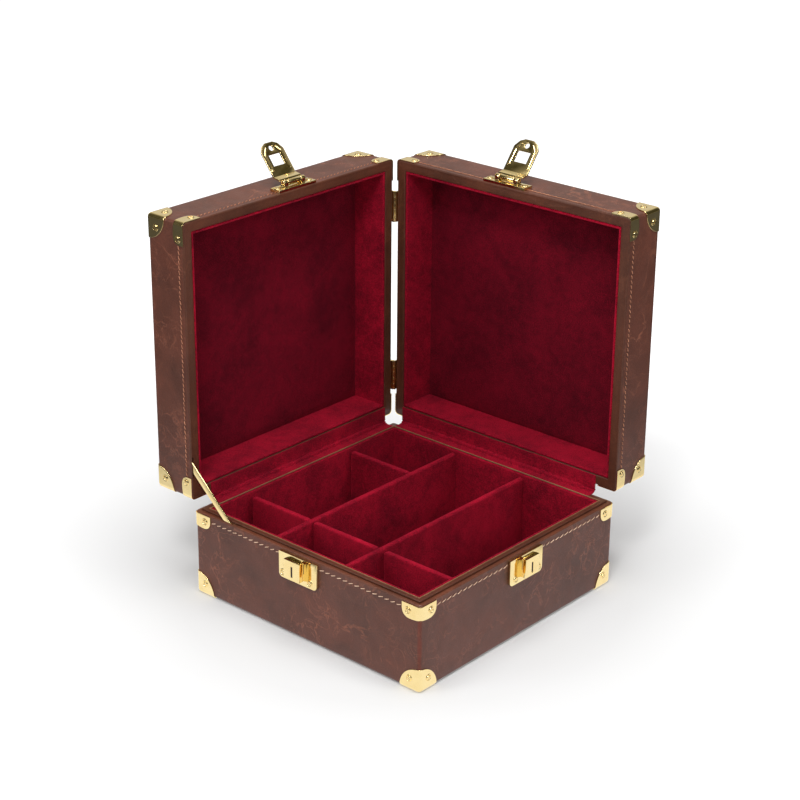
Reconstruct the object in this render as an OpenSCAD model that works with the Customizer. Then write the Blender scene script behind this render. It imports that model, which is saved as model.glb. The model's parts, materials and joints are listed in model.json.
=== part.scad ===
// Square jewellery case: a compartmented base with two hinged lids on adjacent sides.
// Frame: base centred on X and Y, bottom at Z = 0. The left lid hinges on the -X side,
// the rear lid on the +Y side. Both are drawn standing open.

/* [Case] */
// Side of the square case, outside the leather
case_side = 260; // [240:1:280]
// Height of the base up to its outer ledge
base_height = 80.6; // [76:0.2:90]
// Depth of each lid, rim to top panel
lid_depth = 44; // [38:1:52]
// Width of the ledge that stays outside a closed lid, in front and behind
ledge = 4; // [4:0.5:5]
// Height of the rim band above the ledge
band_rise = 1.4; // [1:0.1:2]
// Distance from the side of the base to the hinge axis
hinge_reach = 3; // [3:0.1:3.5]
// Thickness of the leather cover
leather_t = 1.2; // [1:0.1:1.4]
// Thickness of the wooden walls
wall_t = 8; // [8:0.5:10]
// Thickness of the velvet-covered lining boards
lining_t = 3; // [2.5:0.5:4]

/* [Compartments] */
// Thickness of a divider
divider_t = 5.5; // [4:0.5:7]
// Middle of the left long divider along X
left_divider_x = -43.5; // [-55:0.5:-35]
// Middle of the right long divider along X
right_divider_x = 36.5; // [30:0.5:50]
// Middle of the front short dividers along Y
front_divider_y = -73; // [-80:1:-60]
// Middle of the rear short divider along Y
rear_divider_y = 58; // [45:1:70]

/* [Fittings] */
// Thickness of the brass sheet
brass_t = 0.8; // [0.6:0.1:1]
// Reach of a corner cap along each edge
cap_reach = 21; // [18:1:24]
// Length of a hasp from its pin to its tip
hasp_length = 41; // [38:0.5:44]
// Width of a hasp
hasp_width = 27; // [24:0.5:30]
// Lean of an open hasp past upright, in degrees
hasp_lean = 38; // [20:1:45]
// Radius of the lid hinge barrels
barrel_r = 2.2; // [1.8:0.1:2.4]
// Radius of the lid hinge pins
pin_r = 1; // [0.8:0.1:1.2]

/* [Hidden] */
$fn = 48;

fit = 0.02;           // gap between pieces that lie against each other
play = 0.05;          // radial clearance of a pin in its bore
past = 1;             // a cutter passes the face it cuts by this much
overlap = 0.1;        // one part of a piece runs into the next by this much
edge_r = 3;           // radius of the leather-covered vertical edges
moon_step = 7.5;      // degrees between the points of a corner plate's outline
half = case_side / 2;
hinge_x = half + hinge_reach;
closing_z = base_height + band_rise;
cover_bottom = brass_t;
cover_in = half - leather_t;
wall_in = cover_in - wall_t;
lining_in = wall_in - lining_t;
rim_depth = 2.6;
rim_bottom = base_height - rim_depth;
rim_in = wall_in;
floor_t = 6;
floor_top = cover_bottom + leather_t + floor_t;
pad_t = 3;
pad_top = floor_top + pad_t;
lining_drop = 0.4;    // top of the lining below the closing plane
divider_top = closing_z - 3;
short_drop = 1;       // a short divider is this much lower than a long one
divider_slack = 0.4;  // room at each end of a short divider, which slips in loose
wide_slack = 2.8;     // at the -X end of the two short dividers that have slid to one side
sheet_gap = 2;        // between the bottom sheet and the corner caps
strip_t = 0.75;       // velvet strip over the rims on the hinge sides
strip_cut = 6;        // room beyond the mitred corner of the two strips
strip_drop = 0.85;    // how far the rim is lowered to take the strip
strip_end = 108;      // end of the strip towards the free corner
strip_corner = 121;   // end of the strip towards the hinged corner
strip_miss = 1;       // the rear base strip starts this much later, clear of the left one

lid_gap = hinge_reach + ledge;
lid_height = case_side - 2 * ledge;
lid_end = lid_gap + lid_height;
lid_rim_v = 0.15;     // a closed lid stays this far above the rim band
lid_rim_t = 2.25;
lid_panel_t = 5;
lid_panel_v = lid_depth - leather_t - lid_panel_t;
lid_pad_t = 3;
lid_lining_v = 0.6;
left_strip = [-strip_end + fit, strip_corner];
rear_strip = [-strip_corner, strip_end - fit];

upper_plate_w = 19;
upper_plate_h = 13.5;
upper_plate_low = 4;
upper_plate_top = base_height - 1.6;
lid_plate_w = 20;
lid_plate_h = 12.5;
lid_plate_low = 4.5;
lid_plate_v = 0.3;

hinge_centres = [-35, 35];
hinge_length = 30;
third = hinge_length / 3;
knuckle_gap = 0.2;
leaf_t = 1.2;
leaf_screws = [-11, 0, 11];
leaf_screw_off = 14;  // leaf screws: distance from the hinge axis
neck_t = 1.8;         // block that joins a base knuckle to its leaf
neck_cut_r = barrel_r - 0.5;
base_neck_z = [-6, -0.6];
base_leaf_z = [-22, -5.4];
lid_neck_a = 0.8;
lid_neck_v = [1, 4.6];
lid_leaf_v = [4, 24];
pin_short = 0.3;      // each end of a pin stays this far inside its barrel

corner_r = 0.9;       // barrel of the knuckles at the hinged corner
corner_off = 2;       // their axis: distance outside the lids' side faces
corner_v = corner_off - hinge_reach;
corner_starts = [32, 199.5];
corner_pitch = 6;
corner_knuckle = 5.4;
corner_count = 5;
corner_length = (corner_count - 1) * corner_pitch + corner_knuckle;
corner_tab_t = 1.7;
corner_tab_v = 3;
corner_leaf_v = [2, 9];
corner_screw_v = 6;
corner_screw_r = 1.4;
left_corner_screws = [2.7, 26.7];   // between the places that the rear knuckles pass
rear_corner_screws = [8.3, 20.3];

lock_centre = -7;     // middle of the lock case along the front face
lock_plate_s = [-25.6, 18];
lock_plate_z = [54, 78];
lock_plate_t = 2.4;
lock_plate_r = 4;
lock_screw_s = [-21.3, 10];
lock_screw_z = 58.8;
lock_case_w = 18.4;
lock_case_z = [57.5, 75];
lock_case_d = 6.6;
keyhole = [2, 9.6, 3];
keyhole_z = 65;
slide_s = [3.2, 10.6];
slide_z = [61.6, 77.6];
slide_d = 6.2;
slide_back_d = lock_plate_t + 0.08;
slide_slit = [0.7, 9, 0.8];         // width, height and depth of the slit down its front
slide_slit_z = 68;
tongue_s = [5.5, 8.3];
tongue_z = [66, 72.8];
tongue_start = 0.3;   // the tongue stops this far short of the leather
tongue_gap = [0.15, 0.1];           // room around the tongue, along and across its travel
slide_travel = 2.5;

hasp_t = 1.4;
hasp_k = 5.6;         // height of the hasp pin above the lid's end wall
hasp_v = 7;           // distance of the hasp pin behind the rim
hasp_low = 1.5;       // height of the plate's foot above its pin
hasp_high = 5.8;      // height of the rest of the plate, which clears the lock case
hasp_step = [4.6, 9];               // where the plate steps up from one to the other
hasp_step_shift = 0.57;             // upper corners of the step, for an even thickness
hasp_knuckle_r = 2.6;
hasp_pin_r = 1.1;
hasp_knuckle = 15.6;
hasp_lug = 5;
hasp_lug_gap = 0.2;
hasp_neck = [4, 1.1];               // length and thickness of the plate's foot over the knuckle
hasp_start = 3.4;
hasp_tip = [[8, 13.5], [2.5, 9.6], [0, 4.5]];   // corners of the tip: back from the end, from the middle
hasp_hole_x = 35.2;
hasp_hole_r = 2.5;
hasp_window = [18.6, 29.4];
hasp_window_w = 14;
hasp_cut = 20;        // long enough to cut through the whole plate
hasp_base_w = 46;
hasp_base_v = [1, 12.5];
hasp_base_t = 2.6;
hasp_base_screw = 3.6;              // from each end of the base
hasp_clear = 0.6;
left_hasp_y = -lock_centre;
rear_hasp_y = lock_centre;

screw_r = 2.2;
screw_h = 0.6;
shank_r = 0.8;
shank_l = 4;
driver_slot = [0.4, 0.3];           // width and depth of the slot in a head
cap_screw = 10.5;
upper_plate_screw = [12.5, 6];
lid_plate_screw = [15, 6.5];

stay_pivot_u = 42;    // stay pivot: up the lid from the hinge axis
stay_pivot_v = 6;     // stay pivot: behind the lid's rim
stay_angle = 42.5;    // slope of the open stay
stay_length = 74;
stay_w = 6;
stay_y = [-128.6, -127.2];
stay_eye_r = 4;
stay_pin_r = 1.2;
stay_pin_in = 1;      // the pin stops this far short of the wall's inner face
slot_y = [-128.85, -126.95];
slot_u = [36.2, 49.4];
pocket_u = [35, 59.5];
pocket_z = 12;
lid_pocket_u = [28, 46.8];
lid_pocket_v = 11;

velvet = [0.45, 0.03, 0.1];
velvet_edge = [0.62, 0.06, 0.16];
hide = [0.3, 0.14, 0.1];
hide_rim = [0.33, 0.15, 0.07];
timber = [0.62, 0.45, 0.28];
brass = [0.86, 0.74, 0.4];
sheet = [0.12, 0.07, 0.06];

// ---------------------------------------------------------------- shapes

// Box between two limits on each axis
module span(x, y, z) {
    translate([x[0], y[0], z[0]]) cube([x[1] - x[0], y[1] - y[0], z[1] - z[0]]);
}

// Rectangle centred on the origin with round corners
module round_rect(w, d, r) {
    square([w - 2 * r, d], center = true);
    square([w, d - 2 * r], center = true);
    for (sx = [-1, 1], sy = [-1, 1])
        translate([sx * (w / 2 - r), sy * (d / 2 - r)]) circle(r);
}

// Square standing on the origin with only the corner at the origin rounded
module corner_square(s, r) {
    translate([r, 0]) square([s - r, s]);
    translate([0, r]) square([s, s - r]);
    translate([r, r]) circle(r);
}

// Half-moon outline beside an edge: h high at the edge, low at its far end, w away
module half_moon(w, h, low) {
    polygon(concat([[0, 0], [w, 0]],
                   [for (turn = [0 : moon_step : 90]) [w * cos(turn), low + (h - low) * sin(turn)]]));
}

// Sheet brass around an edge, inside a square of side s, from z = lo to z = hi
module edge_shell(s, lo, hi) {
    difference() {
        translate([-brass_t, -brass_t, lo])
            linear_extrude(hi - lo) corner_square(s + brass_t, edge_r + brass_t);
        translate([-fit, -fit, lo - past])
            linear_extrude(hi - lo + 2) corner_square(s + 5, edge_r + fit);
    }
}

// Cap over a three-way corner, a quarter disc on each of its faces
module corner_cap() {
    intersection() {
        union() {
            edge_shell(cap_reach, -brass_t, cap_reach);
            translate([-brass_t, -brass_t, -brass_t])
                linear_extrude(brass_t - fit) corner_square(cap_reach + brass_t, edge_r + brass_t);
        }
        sphere(cap_reach, $fn = 96);
    }
}

// Half-moon plate around an edge, w along each face and h along the edge
module edge_plate(w, h, low) {
    intersection() {
        edge_shell(w, 0, h);
        translate([-5, 0, 0]) rotate([90, 0, 90]) linear_extrude(w + 10)
            translate([-brass_t, 0]) half_moon(w + brass_t, h, low);
        translate([0, w + 5, 0]) rotate([90, 0, 0]) linear_extrude(w + 10)
            translate([-brass_t, 0]) half_moon(w + brass_t, h, low);
    }
}

// Slotted round-head screw, head upwards from z = 0
module screw(r = screw_r) {
    difference() {
        cylinder(h = screw_h, r = r);
        span([-r, r], [-driver_slot[0] / 2, driver_slot[0] / 2], [screw_h - driver_slot[1], screw_h + past]);
    }
    translate([0, 0, -shank_l]) cylinder(h = shank_l + overlap, r = shank_r);
}

// One screw on each of the two faces beside an edge
module edge_screws(along, up) {
    translate([-brass_t, along, up]) rotate([0, -90, 0]) screw();
    translate([along, -brass_t, up]) rotate([90, 0, 0]) screw();
}

// Children at the four corners of a rectangle, turned to face inwards
module at_corners(a, b) {
    for (ia = [0, 1], ib = [0, 1])
        translate([a[ia], b[ib], 0]) mirror([ia, 0, 0]) mirror([0, ib, 0]) children();
}

// Frame of the left lid: x up from the hinge axis, y along it, z from the rim outwards
module on_left_lid() {
    translate([-hinge_x, 0, closing_z]) rotate([0, -90, 0]) children();
}

module on_rear_lid() {
    rotate([0, 0, -90]) on_left_lid() children();
}

// Frame of a hinge side of the base: the hinge axis on Y
module on_left_side() {
    translate([-hinge_x, 0, closing_z]) children();
}

module on_rear_side() {
    rotate([0, 0, -90]) on_left_side() children();
}

// Frame of the front lock turned to the right-hand face, mirrored
module on_right_face() {
    rotate([0, 0, 90]) mirror([1, 0, 0]) children();
}

// Box on the front face: s along it, z up, d outwards
module front_span(s, z, d) {
    span(s, [-half - d[1], -half - d[0]], z);
}

// ---------------------------------------------------------------- base

module bottom_sheet() {
    side = case_side - 2 * (cap_reach + sheet_gap);
    color(sheet) linear_extrude(cover_bottom - fit) round_rect(side, side, edge_r);
}

module base_floor() {
    s = wall_in - fit;
    color(timber) span([-s, s], [-s, s], [cover_bottom + leather_t + fit, floor_top]);
}

module side_wall(length) {
    z = [cover_bottom + leather_t + fit, rim_bottom - fit];
    span([-length, length], [-cover_in + fit, -wall_in], z);
}

// The front wall carries the channel that the stay arm sinks into
module base_front_wall() {
    color(timber) difference() {
        side_wall(cover_in - fit);
        span([pocket_u[0] - hinge_x, pocket_u[1] - hinge_x], slot_y, [pocket_z, rim_bottom + past]);
    }
}

module base_rear_wall() {
    color(timber) rotate([0, 0, 180]) side_wall(cover_in - fit);
}

module base_left_wall() {
    color(timber) rotate([0, 0, -90]) side_wall(wall_in - fit);
}

module base_right_wall() {
    color(timber) rotate([0, 0, 90]) side_wall(wall_in - fit);
}

module base_leather() {
    color(hide) difference() {
        translate([0, 0, cover_bottom]) linear_extrude(rim_bottom - cover_bottom)
            round_rect(case_side, case_side, edge_r);
        span([-cover_in, cover_in], [-cover_in, cover_in], [cover_bottom + leather_t, rim_bottom + past]);
    }
}

// Leather rim: an outer ledge, a raised band, and a lower band where the strips lie
module base_rim() {
    band = half - ledge;
    low = closing_z - strip_drop;
    color(hide_rim) difference() {
        union() {
            translate([0, 0, rim_bottom]) linear_extrude(base_height - rim_bottom)
                round_rect(case_side, case_side, edge_r);
            span([-band, band], [-band, band], [rim_bottom, closing_z]);
        }
        span([-rim_in, rim_in], [-rim_in, rim_in], [rim_bottom - past, closing_z + past]);
        span([-band - past, -rim_in + past], [-strip_end, strip_corner + strip_cut],
             [low, closing_z + past]);
        span([-strip_corner - strip_cut, strip_end], [rim_in - past, band + past],
             [low, closing_z + past]);
        span([slot_u[0] - hinge_x, slot_u[1] - hinge_x], slot_y, [rim_bottom - past, closing_z + past]);
    }
}

module base_lining() {
    s = wall_in - fit;
    color(velvet_edge) difference() {
        span([-s, s], [-s, s], [floor_top + fit, closing_z - lining_drop]);
        span([-lining_in, lining_in], [-lining_in, lining_in], [floor_top - past, closing_z + past]);
    }
}

module base_floor_pad() {
    s = lining_in - fit;
    color(velvet) span([-s, s], [-s, s], [floor_top + fit, pad_top]);
}

module long_divider(x) {
    s = lining_in - fit;
    color(velvet) span([x - divider_t / 2, x + divider_t / 2], [-s, s], [pad_top + fit, divider_top]);
}

module left_long_divider() {
    long_divider(left_divider_x);
}

module right_long_divider() {
    long_divider(right_divider_x);
}

// Short divider between the faces x0 and x1 of its lane, with the room slack at its -X end
module short_divider(x0, x1, y, slack = divider_slack) {
    color(velvet) span([x0 + slack, x1 - divider_slack], [y - divider_t / 2, y + divider_t / 2],
                       [pad_top + fit, divider_top - short_drop]);
}

module short_divider_1() {
    short_divider(-lining_in, left_divider_x - divider_t / 2, front_divider_y, wide_slack);
}

module short_divider_2() {
    short_divider(-lining_in, left_divider_x - divider_t / 2, rear_divider_y);
}

module short_divider_3() {
    short_divider(left_divider_x + divider_t / 2, right_divider_x - divider_t / 2, front_divider_y);
}

module short_divider_4() {
    short_divider(right_divider_x + divider_t / 2, lining_in, front_divider_y, wide_slack);
}

module base_lower_caps() {
    color(brass) at_corners([-half, half], [-half, half])
        translate([0, 0, cover_bottom]) corner_cap();
}

module base_upper_plates() {
    color(brass) at_corners([-half, half], [-half, half])
        translate([0, 0, upper_plate_top]) mirror([0, 0, 1])
            edge_plate(upper_plate_w, upper_plate_h, upper_plate_low);
}

module base_screws() {
    color(brass) {
        at_corners([-half, half], [-half, half]) {
            translate([0, 0, cover_bottom]) edge_screws(cap_screw, cap_screw);
            edge_screws(upper_plate_screw[0], upper_plate_top - upper_plate_screw[1]);
        }
        on_left_side() base_leaf_screws();
        on_rear_side() base_leaf_screws();
        lock_screws();
        on_right_face() lock_screws();
    }
}

module base_leaf_screws() {
    for (c = hinge_centres, s = leaf_screws)
        translate([hinge_reach - leaf_t, c + s, -leaf_screw_off]) rotate([0, -90, 0]) screw();
}

module lock_screws() {
    for (s = lock_screw_s)
        translate([s, -half - lock_plate_t, lock_screw_z]) rotate([90, 0, 0]) screw();
}

// Barrel with its pin bore, along Y, over the stretch y
module barrel(y, r, bore) {
    translate([0, y[1], 0]) rotate([90, 0, 0]) difference() {
        cylinder(h = y[1] - y[0], r = r);
        translate([0, 0, -past]) cylinder(h = y[1] - y[0] + 2 * past, r = bore);
    }
}

// Two-knuckle leaf on the side of the base
module base_leaf(c) {
    inner = third / 2 + knuckle_gap;
    outer = hinge_length / 2;
    for (y = [[c - outer, c - inner], [c + inner, c + outer]]) {
        barrel(y, barrel_r, pin_r + play);
        difference() {
            span([hinge_reach - neck_t, hinge_reach - fit], y, base_neck_z);
            translate([0, y[1] + past, 0]) rotate([90, 0, 0])
                cylinder(h = y[1] - y[0] + 2 * past, r = neck_cut_r);
        }
    }
    span([hinge_reach - leaf_t, hinge_reach - fit], [c - outer, c + outer], base_leaf_z);
}

module base_hinge_leaves() {
    color(brass) for (c = hinge_centres) {
        on_left_side() base_leaf(c);
        on_rear_side() base_leaf(c);
    }
}

module hinge_pin(c) {
    translate([0, c + hinge_length / 2 - pin_short, 0]) rotate([90, 0, 0])
        cylinder(h = hinge_length - 2 * pin_short, r = pin_r);
}

module hinge_pins() {
    color(brass) for (c = hinge_centres) {
        on_left_side() hinge_pin(c);
        on_rear_side() hinge_pin(c);
    }
}

// Velvet strip on the lowered rim band, y from the free corner to the hinged corner
module base_strip(y) {
    color(velvet) span([ledge + hinge_reach + fit, half - rim_in + hinge_reach], y,
                       [-strip_drop + fit, strip_t - strip_drop]);
}

module base_strips() {
    on_left_side() base_strip([-strip_end + fit, strip_corner]);
    on_rear_side() base_strip([-strip_corner + strip_miss, strip_end - fit]);
}

// ---------------------------------------------------------------- locks

module lock_plate() {
    r = lock_plate_r;
    w = lock_plate_s[1] - lock_plate_s[0];
    h = lock_plate_z[1] - lock_plate_z[0];
    color(brass) difference() {
        translate([lock_plate_s[0] + w / 2, -half - fit, lock_plate_z[0]]) rotate([90, 0, 0])
            linear_extrude(lock_plate_t - fit) {
                translate([-w / 2, r]) square([w, h - r]);
                translate([-w / 2 + r, 0]) square([w - 2 * r, h]);
                for (s = [-1, 1])
                    translate([s * (w / 2 - r), r]) circle(r);
            }
        front_span([tongue_s[0] - tongue_gap[0], tongue_s[1] + slide_travel + tongue_gap[0]],
                   [tongue_z[0] - tongue_gap[1], tongue_z[1] + tongue_gap[1]], [-past, lock_plate_t + past]);
    }
}

module lock_case() {
    s0 = lock_centre - lock_case_w / 2;
    color(brass) difference() {
        front_span([s0, s0 + lock_case_w], lock_case_z, [lock_plate_t + fit, lock_case_d]);
        front_span([lock_centre - keyhole[0] / 2, lock_centre + keyhole[0] / 2],
                   [keyhole_z - keyhole[1] / 2, keyhole_z + keyhole[1] / 2],
                   [lock_case_d - keyhole[2], lock_case_d + past]);
    }
}

// Sprung release slide: a round-fronted bar with a slit, and the tongue that guides it
module lock_slide() {
    r = (slide_s[1] - slide_s[0]) / 2;
    middle = slide_s[0] + r;
    color(brass) {
        difference() {
            intersection() {
                translate([middle, -half - slide_d + r, slide_z[0]])
                    cylinder(h = slide_z[1] - slide_z[0], r = r);
                front_span(slide_s, slide_z, [slide_back_d, slide_d]);
            }
            front_span([middle - slide_slit[0] / 2, middle + slide_slit[0] / 2],
                       [slide_slit_z, slide_slit_z + slide_slit[1]],
                       [slide_d - slide_slit[2], slide_d + past]);
        }
        front_span(tongue_s, tongue_z, [tongue_start, slide_back_d + overlap]);
    }
}

module front_lock_plate() {
    lock_plate();
}

module front_lock_case() {
    lock_case();
}

module front_lock_slide() {
    lock_slide();
}

module right_lock_plate() {
    on_right_face() lock_plate();
}

module right_lock_case() {
    on_right_face() lock_case();
}

module right_lock_slide() {
    on_right_face() lock_slide();
}

// ---------------------------------------------------------------- lids
// Lid pieces are drawn in the lid's own frame: x up from the hinge axis, y along
// the hinge, z from the rim to the outer panel.

// Block over the whole lid, inset on all four sides
module lid_block(inset, z, r = 0) {
    w = lid_height - 2 * inset;
    d = case_side - 2 * inset;
    translate([lid_gap + lid_height / 2, 0, z[0]]) linear_extrude(z[1] - z[0]) {
        if (r > 0) round_rect(w, d, r);
        else square([w, d], center = true);
    }
}

module lid_panel() {
    color(timber) lid_block(leather_t + fit, [lid_panel_v, lid_depth - leather_t - fit]);
}

// Pocket in the left lid's front wall and rim for the stay arm
module lid_pocket() {
    span(lid_pocket_u, slot_y, [-past, lid_pocket_v]);
}

module lid_walls() {
    z = [lid_rim_v + lid_rim_t + fit, lid_panel_v - fit];
    a = [lid_gap + leather_t + fit, lid_end - leather_t - fit];
    for (y = [[-cover_in + fit, -wall_in], [wall_in, cover_in - fit]])
        span(a, y, z);
    for (x = [[a[0], a[0] + wall_t - fit], [a[1] - wall_t + fit, a[1]]])
        span(x, [-wall_in + fit, wall_in - fit], z);
}

module lid_leather() {
    color(hide) difference() {
        lid_block(0, [lid_rim_v + lid_rim_t, lid_depth], edge_r);
        lid_block(leather_t, [0, lid_depth - leather_t]);
    }
}

module lid_rim(strip) {
    depth = leather_t + wall_t;
    color(hide_rim) difference() {
        lid_block(0, [lid_rim_v, lid_rim_v + lid_rim_t], edge_r);
        lid_block(depth, [-past, lid_depth]);
        span([lid_gap - past, lid_gap + depth + past], strip, [-past, lid_rim_v + strip_drop]);
    }
}

module lid_lining() {
    inset = leather_t + wall_t + fit;
    color(velvet_edge) difference() {
        lid_block(inset, [lid_lining_v, lid_panel_v - fit]);
        lid_block(inset + lining_t, [-past, lid_depth]);
    }
}

module lid_pad() {
    color(velvet) lid_block(leather_t + wall_t + lining_t + 2 * fit,
                            [lid_panel_v - lid_pad_t, lid_panel_v - fit]);
}

module lid_rim_plates() {
    color(brass) at_corners([lid_gap, lid_end], [-half, half])
        translate([0, 0, lid_plate_v]) edge_plate(lid_plate_w, lid_plate_h, lid_plate_low);
}

module lid_caps() {
    color(brass) at_corners([lid_gap, lid_end], [-half, half])
        translate([0, 0, lid_depth]) mirror([0, 0, 1]) corner_cap();
}

// Leaf under the lid's hinge-side wall, with the middle knuckle
module lid_leaf(c) {
    y = [c - third / 2, c + third / 2];
    barrel(y, barrel_r, pin_r + play);
    difference() {
        span([lid_neck_a, lid_gap - fit], y, lid_neck_v);
        translate([0, y[1] + past, 0]) rotate([90, 0, 0])
            cylinder(h = y[1] - y[0] + 2 * past, r = neck_cut_r);
    }
    span([lid_gap - leaf_t, lid_gap - fit], [c - hinge_length / 2, c + hinge_length / 2], lid_leaf_v);
}

module lid_hinge_leaves() {
    color(brass) for (c = hinge_centres) lid_leaf(c);
}

// Velvet strip on the rim of the hinge-side wall
module lid_strip(y) {
    color(velvet) span([lid_gap, lid_gap + leather_t + wall_t], y,
                       [lid_rim_v + strip_drop - strip_t, lid_rim_v + strip_drop - fit]);
}

// Mirrors what is drawn on the +Y side of a lid to its -Y side, when side is -1
module on_side(side) {
    mirror([0, side < 0 ? 1 : 0, 0]) children();
}

// Knuckles at the hinged corner; side is +1 or -1, first is the first knuckle taken
module corner_knuckles(side, first) {
    color(brass) on_side(side) for (start = corner_starts) {
        for (i = [first : 2 : corner_count - 1]) {
            a = start + i * corner_pitch;
            translate([a, half + corner_off, corner_v]) rotate([0, 90, 0])
                cylinder(h = corner_knuckle, r = corner_r);
            span([a, a + corner_knuckle], [half + fit, half + corner_tab_t], [corner_v, corner_tab_v]);
        }
        span([start, start + corner_length], [half + fit, half + brass_t], corner_leaf_v);
    }
}

module hasp_base(y0) {
    base = lid_end + fit;
    color(brass) {
        difference() {
            span([base, lid_end + hasp_base_t], [y0 - hasp_base_w / 2, y0 + hasp_base_w / 2], hasp_base_v);
            translate([lid_end + hasp_k, y0 + hasp_base_w, hasp_v]) rotate([90, 0, 0])
                cylinder(h = 2 * hasp_base_w, r = hasp_knuckle_r + hasp_clear);
        }
        for (s = [-1, 1]) {
            y = y0 + s * (hasp_knuckle / 2 + hasp_lug_gap + hasp_lug / 2);
            difference() {
                union() {
                    translate([lid_end + hasp_k, y + hasp_lug / 2, hasp_v]) rotate([90, 0, 0])
                        cylinder(h = hasp_lug, r = hasp_knuckle_r);
                    span([base, lid_end + hasp_k], [y - hasp_lug / 2, y + hasp_lug / 2],
                         [hasp_v - hasp_knuckle_r, hasp_v + hasp_knuckle_r]);
                }
                translate([lid_end + hasp_k, y + hasp_lug, hasp_v]) rotate([90, 0, 0])
                    cylinder(h = 2 * hasp_lug, r = hasp_pin_r + fit / 2);
            }
        }
    }
}

module hasp_pin(y0) {
    length = hasp_knuckle + 2 * (hasp_lug + hasp_lug_gap);
    color(brass) translate([lid_end + hasp_k, y0 + length / 2, hasp_v]) rotate([90, 0, 0])
        cylinder(h = length, r = hasp_pin_r);
}

// Outline of a hasp's plate, x along it from the pin
module hasp_outline() {
    side = [for (p = hasp_tip) [hasp_length - p[0], p[1] * hasp_width / (2 * hasp_tip[0][1])]];
    polygon(concat([[hasp_start, hasp_width / 2]], side,
                   [for (i = [len(side) - 1 : -1 : 0]) [side[i][0], -side[i][1]]],
                   [[hasp_start, -hasp_width / 2]]));
}

// Stepped section along a hasp's plate
module hasp_section() {
    low = hasp_low;
    high = hasp_high;
    polygon([[hasp_start, low], [hasp_step[0], low], [hasp_step[1], high], [hasp_length + past, high],
             [hasp_length + past, high + hasp_t], [hasp_step[1] - hasp_step_shift, high + hasp_t],
             [hasp_step[0] - hasp_step_shift, low + hasp_t], [hasp_start, low + hasp_t]]);
}

// Hasp in its own frame: x along the plate from the pin, y across, z off the pin
module hasp_plate() {
    w = hasp_width;
    difference() {
        union() {
            translate([0, hasp_knuckle / 2, 0]) rotate([90, 0, 0])
                cylinder(h = hasp_knuckle, r = hasp_knuckle_r);
            span([0, hasp_neck[0]], [-hasp_knuckle / 2, hasp_knuckle / 2],
                 [hasp_low, hasp_low + hasp_neck[1]]);
            intersection() {
                linear_extrude(hasp_cut) hasp_outline();
                translate([0, w / 2, 0]) rotate([90, 0, 0]) linear_extrude(w) hasp_section();
            }
        }
        translate([0, w, 0]) rotate([90, 0, 0]) cylinder(h = 2 * w, r = hasp_pin_r + play);
        span(hasp_window, [-hasp_window_w / 2, hasp_window_w / 2], [-past, hasp_cut]);
        translate([hasp_hole_x, 0, -past]) cylinder(h = hasp_cut, r = hasp_hole_r);
    }
}

// Open hasp: turned up from its closed direction and leaning over the lid
module hasp(y0) {
    color(brass) translate([lid_end + hasp_k, y0, hasp_v]) rotate([0, -hasp_lean, 0]) hasp_plate();
}

// Screws of a lid; side is the side of its corner knuckles, +1 or -1
module lid_screws(y0, side, corner_screws) {
    color(brass) {
        at_corners([lid_gap, lid_end], [-half, half])
            edge_screws(lid_plate_screw[0], lid_plate_v + lid_plate_screw[1]);
        difference() {
            at_corners([lid_gap, lid_end], [-half, half])
                translate([0, 0, lid_depth]) mirror([0, 0, 1]) edge_screws(cap_screw, cap_screw);
            // no head where the knuckles of the other lid pass
            on_side(side)
                span([lid_gap, lid_gap + cap_reach], [half, half + brass_t + 2 * screw_h],
                     [lid_depth - cap_reach, lid_depth]);
        }
        for (c = hinge_centres, s = leaf_screws)
            translate([lid_gap - leaf_t, c + s, leaf_screw_off]) rotate([0, -90, 0]) screw();
        for (s = [-1, 1])
            translate([lid_end + hasp_base_t, y0 + s * (hasp_base_w / 2 - hasp_base_screw), hasp_v])
                rotate([0, 90, 0]) screw();
        on_side(side) for (start = corner_starts, a = corner_screws)
            translate([start + a, half + brass_t, corner_screw_v]) rotate([-90, 0, 0])
                screw(corner_screw_r);
    }
}

module left_lid_panel() {
    on_left_lid() lid_panel();
}

module left_lid_walls() {
    color(timber) on_left_lid() difference() {
        lid_walls();
        lid_pocket();
        translate([stay_pivot_u, -wall_in, stay_pivot_v]) rotate([90, 0, 0])
            cylinder(h = wall_t + 5, r = stay_pin_r + fit / 2);
    }
}

module left_lid_leather() {
    on_left_lid() lid_leather();
}

module left_lid_rim() {
    on_left_lid() difference() {
        lid_rim([-strip_end, half + past]);
        lid_pocket();
    }
}

module left_lid_lining() {
    on_left_lid() lid_lining();
}

module left_lid_pad() {
    on_left_lid() lid_pad();
}

module left_lid_rim_plates() {
    on_left_lid() lid_rim_plates();
}

module left_lid_caps() {
    on_left_lid() lid_caps();
}

module left_lid_screws() {
    on_left_lid() lid_screws(left_hasp_y, 1, left_corner_screws);
}

module left_lid_hinge_leaves() {
    on_left_lid() lid_hinge_leaves();
}

module left_lid_strip() {
    on_left_lid() lid_strip(left_strip);
}

module left_corner_knuckles() {
    on_left_lid() corner_knuckles(1, 0);
}

module left_hasp_base() {
    on_left_lid() hasp_base(left_hasp_y);
}

module left_hasp_pin() {
    on_left_lid() hasp_pin(left_hasp_y);
}

module left_hasp() {
    on_left_lid() hasp(left_hasp_y);
}

module rear_lid_panel() {
    on_rear_lid() lid_panel();
}

module rear_lid_walls() {
    color(timber) on_rear_lid() lid_walls();
}

module rear_lid_leather() {
    on_rear_lid() lid_leather();
}

module rear_lid_rim() {
    on_rear_lid() lid_rim([-half - past, strip_end]);
}

module rear_lid_lining() {
    on_rear_lid() lid_lining();
}

module rear_lid_pad() {
    on_rear_lid() lid_pad();
}

module rear_lid_rim_plates() {
    on_rear_lid() lid_rim_plates();
}

module rear_lid_caps() {
    on_rear_lid() lid_caps();
}

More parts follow.
